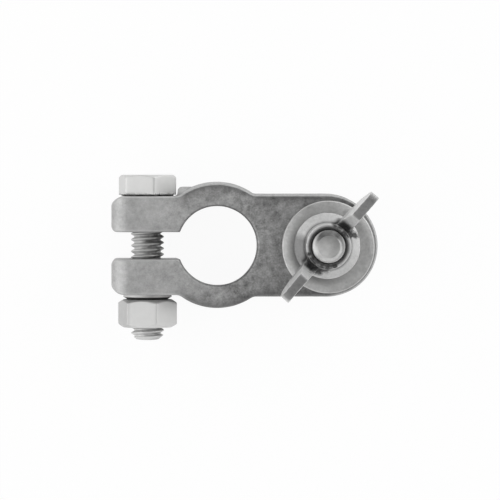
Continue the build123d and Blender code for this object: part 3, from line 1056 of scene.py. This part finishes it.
@dataclass
class Studio:
    """Floor, sky, lamps and the camera above the clamp."""

    floor_height: float
    centre: Place = (7.85 * MM, -1.02 * MM, 16.0 * MM)
    scale: float = 4.173  # picture points per millimetre at the height of the centre
    distance: float = 0.80
    lean_x: float = -1.1
    lean_y: float = 1.3
    sensor: float = 36.0
    clip: Span = (0.01, 10.0)
    floor_side: float = 3.0
    floor_colour: tuple[float, ...] = (0.9, 0.9, 0.9, 1.0)
    floor_glow: float = 0.94  # share of its own light in what the camera sees of the floor
    lamps: tuple[tuple[str, float, float, float], ...] = (
        ("key", 45.0, 32.0, 2.4),  # name, direction and height in degrees, watts
        ("right", 0.0, 32.0, 1.0),
        ("left", 180.0, 32.0, 2.2),
        ("top", 225.0, 60.0, 1.9),
    )
    lamp_side: float = 0.90
    lamp_distance: float = 0.71
    sky_levels: tuple[Span, ...] = (
        (0.0, 1.16),  # height on the sky's sphere, brightness
        *((0.14, 1.30), (0.34, 1.12), (0.50, 0.72), (0.66, 0.14), (0.80, 0.04), (1.0, 0.03)),
    )

    def camera(self) -> Piece:
        """Adds the camera, almost straight above and leaning a little to +Y."""
        data = bpy.data.cameras.new("camera")
        data.sensor_width = self.sensor
        width = PICTURE_SIDE / self.scale * MM
        data.lens = self.sensor * self.distance / width
        data.clip_start, data.clip_end = self.clip
        made = bpy.data.objects.new("camera", data)
        bpy.context.scene.collection.objects.link(made)
        leans = (math.tan(math.radians(lean)) for lean in (self.lean_x, self.lean_y))
        back = Vector((*leans, 1.0)).normalized()
        side = Vector((0, 1, 0)).cross(back).normalized()
        turn = Matrix((side, back.cross(side), back)).transposed().to_4x4()
        centre = Vector(self.centre)
        made.matrix_world = Matrix.Translation(centre + back * self.distance) @ turn
        bpy.context.scene.camera = made
        return made

    def lamp(self, name: str, turn: float, rise: float, power: float) -> Piece:
        """Adds a square soft lamp that faces the clamp.

        Args:
            name: the lamp's name.
            turn: its direction about Z from +X, degrees.
            rise: its height above the horizon, degrees.
            power: watts.

        Returns:
            The lamp.
        """
        data = bpy.data.lights.new(name, "AREA")
        data.shape = "SQUARE"
        data.size = self.lamp_side
        data.energy = power
        made = bpy.data.objects.new(name, data)
        bpy.context.scene.collection.objects.link(made)
        turn, rise = math.radians(turn), math.radians(rise)
        level = math.cos(rise)
        out = Vector((level * math.cos(turn), level * math.sin(turn), math.sin(rise)))
        made.location = Vector(self.centre) + out * self.lamp_distance
        made.rotation_mode = "QUATERNION"
        made.rotation_quaternion = (-out).to_track_quat("-Z", "Y")
        return made

    def sky(self) -> None:
        """Lights the clamp from all round, brightly near the horizon and dimly overhead."""
        world = bpy.data.worlds.new("studio")
        bench = NodeBench(world)
        direction = bench.node("TexCoord", {}).outputs["Generated"]
        sky = bench.node("ValToRGB", {"Fac": bench.along(direction, "Z")})
        elements = sky.color_ramp.elements
        elements[0].position = self.sky_levels[0][0]
        elements[1].position = self.sky_levels[-1][0]
        for position, _ in self.sky_levels[1:-1]:
            elements.new(position)
        for element, (_, level) in zip(elements, self.sky_levels):
            element.color = (level, level, level, 1)
        light = {"Color": (1, 1, 1, 1), "Strength": sky.outputs["Color"]}
        bench.surface(bench.node("Background", light), "OutputWorld")
        bpy.context.scene.world = world

    def floor(self) -> Piece:
        """Adds the white floor, which keeps a faint shadow, and returns it."""
        corners = np.array([[-1, -1], [1, -1], [1, 1], [-1, 1]]) * self.floor_side / 2
        points = np.column_stack((corners, np.full(len(corners), self.floor_height)))
        made = mesh_object("floor", points, np.array([[0, 1, 2, 3]]))
        bench = NodeBench(bpy.data.materials.new("floor_white"))
        paper = bench.node("BsdfDiffuse", {"Color": self.floor_colour})
        glow = bench.node("Emission", {"Color": (1, 1, 1, 1), "Strength": 1.0})
        path = bench.node("LightPath", {})
        seen = path.outputs["Is Camera Ray"]
        for kind in ("Is Glossy Ray", "Is Transmission Ray"):
            seen = bench.math("MAXIMUM", seen, path.outputs[kind])
        share = bench.math("MULTIPLY", seen, self.floor_glow)
        mix = bench.node("MixShader", {0: share, 1: paper.outputs[0], 2: glow.outputs[0]})
        made.data.materials.append(bench.surface(mix))
        made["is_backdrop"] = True
        return made

    def build(self) -> None:
        """Sets the whole studio up."""
        self.camera()
        self.sky()
        self.floor()
        for name, turn, rise, power in self.lamps:
            self.lamp(name, turn, rise, power)
        bpy.context.scene.view_settings.view_transform = "Standard"
        log.info("studio ready")


# ---- the clamp ----


@dataclass
class Clamp:
    """The whole clamp: castings, clamp bolt with its nut, stud with washer and wing nut."""

    solids: dict[str, Piece]
    # spots of painted shade round the wing roots
    root_shade_places: tuple[tuple[float, float, float, float], ...] = (
        # direction in degrees, distance from the stud and radius in mm, strength
        *((74.0, 5.2, 1.1, 1.0), (58.0, 5.7, 1.7, 1.0), (42.0, 5.6, 1.6, 1.0)),
        *((30.0, 5.8, 1.3, 1.0), (25.0, 6.4, 1.3, 1.0), (20.0, 7.0, 1.2, 1.0)),
        *((200.0, 5.0, 1.0, 1.0), (216.0, 5.6, 1.6, 1.0), (232.0, 5.9, 2.1, 1.0)),
        *((250.0, 5.7, 2.0, 1.0), (268.0, 5.4, 1.7, 1.0), (288.0, 5.1, 1.0, 0.9)),
    )

    @staticmethod
    def middle(node: str) -> Array:
        """Returns the middle of a solid's box."""
        low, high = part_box(node)
        return (np.array(low) + np.array(high)) / 2

    def castings(self) -> None:
        """Makes the skins of the clamp body and of the wing nut."""
        # the fade paints the ears lighter than the pad
        finish = CastFinish(fade=((-14.0, 6.0), (1.30, 0.92))).make()
        CastSkin(
            "clamp_body", "clamp", cell=0.28 * MM, seed=3, bore=(0.0, 0.0, 9.95 * MM)
        ).make(self.solids, finish)
        wing_finish = CastFinish(
            name="wing_alloy_skin", dark=0.36, light=0.60, worn=0.68, painted_shade=0.08, facing_shade=0.42,
            metallic=0.5, rough=(0.42, 0.54), pit_depth_mm=0.08,
        ).make()
        x, y, _ = (float(value) for value in self.middle("cable_stud"))
        spots = []
        for turn, reach, radius, strength in self.root_shade_places:
            turn = math.radians(turn)
            spot_x, spot_y = x + reach * MM * math.cos(turn), y + reach * MM * math.sin(turn)
            spots.append((spot_x, spot_y, radius * MM, strength))
        CastSkin(
            "wing_nut", "wing_nut", cell=0.17 * MM, seed=17, bore=(x, y, 4.75 * MM),
            crest=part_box("wing_nut")[0].z + 6.2 * MM, root_shade_spots=tuple(spots),
            waves=((3.2 * MM, 0.10 * MM), (1.4 * MM, 0.08 * MM), (0.6 * MM, 0.030 * MM)),
        ).make(self.solids, wing_finish)

    def bolt(self) -> None:
        """Makes the clamp bolt and its nut, and gives the lock washer its finish."""
        finish = PlatedFinish().make()
        low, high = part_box("clamp_bolt")
        mid = self.middle("clamp_bolt")
        seat = high[1] - Screw.head_height
        # its thread gets painted shade, darker on the +X side and lighter past the nut
        Screw(
            "clamp_bolt_threaded", "clamp_bolt", "clamp", (mid[0], seat, mid[2]), *BOLT_AXES,
            length=seat - low[1], turn=math.radians(16), crispness=38.0, patchy=0.9,
            soil=(1.0, 1.0), shade_ease_from=22.0 * MM,
        ).make(finish)
        low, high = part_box("clamp_nut")
        # the nut gets painted shade on one flank
        Ring(
            "clamp_nut_chamfered", "clamp_nut", "clamp_nut", (mid[0], high[1], mid[2]),
            *BOLT_AXES, thickness=high[1] - low[1], inner=4.02 * MM, outer=6.35 * MM,
            hexagonal=True, turn=math.radians(12), flank_shading=0.3,
        ).make(finish)
        name = "lock_washer_steel_skin"
        # painted shadow over the lock washer's side towards the nut
        spring = PlatedFinish(name=name, tone=0.50, soil=(-12.45, -12.6)).make()
        self.solids["lock_washer"].data.materials.clear()
        self.solids["lock_washer"].data.materials.append(spring)

    def stud(self) -> None:
        """Makes the cable stud and its flat washer."""
        low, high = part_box("cable_stud")
        mid = self.middle("cable_stud")
        seat = low[2] + Screw.head_height
        finish = PlatedFinish(
            name="stud_steel_skin", tone=0.50, cloud=0.06, speck=0.04, hollow_tone=0.08,
            roughness=0.38,
        ).make()
        # its thread and end get painted shade, darker on one side
        Screw(
            "cable_stud_threaded", "cable_stud", "clamp", (mid[0], mid[1], seat), *STUD_AXES,
            length=high[2] - seat, turn=0.0, soil=(1.0, 1.0), shading_turn=math.radians(76),
            end_shading=0.6,
        ).make(finish)
        low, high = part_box("flat_washer")
        mid = self.middle("flat_washer")
        finish = PlatedFinish(
            name="washer_steel_skin", tone=0.45, cloud=0.05, speck=0.05, roughness=0.36
        ).make()
        # the washer gets painted shade round the hub, most towards 205 degrees
        Ring(
            "flat_washer_rounded", "flat_washer", "flat_washer", (mid[0], mid[1], low[2]),
            *STUD_AXES, thickness=high[2] - low[2], inner=4.62 * MM, outer=11.1 * MM,
            mouth=0.12 * MM, edge=(0.45 * MM, 0.2 * MM), dome=(8.7 * MM, 0.28 * MM),
            soil=(9.9 * MM, 205.0),
        ).make(finish)

    def build(self) -> None:
        """Makes all pieces in order."""
        self.castings()
        self.bolt()
        self.stud()


def main() -> None:
    """Loads the solids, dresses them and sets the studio."""
    logging.basicConfig(level=logging.INFO, format="%(name)s: %(message)s")
    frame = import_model()
    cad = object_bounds()
    Clamp(frame["nodes"]).build()
    Studio(cad[0].z).build()


if __name__ == "__main__":
    main()
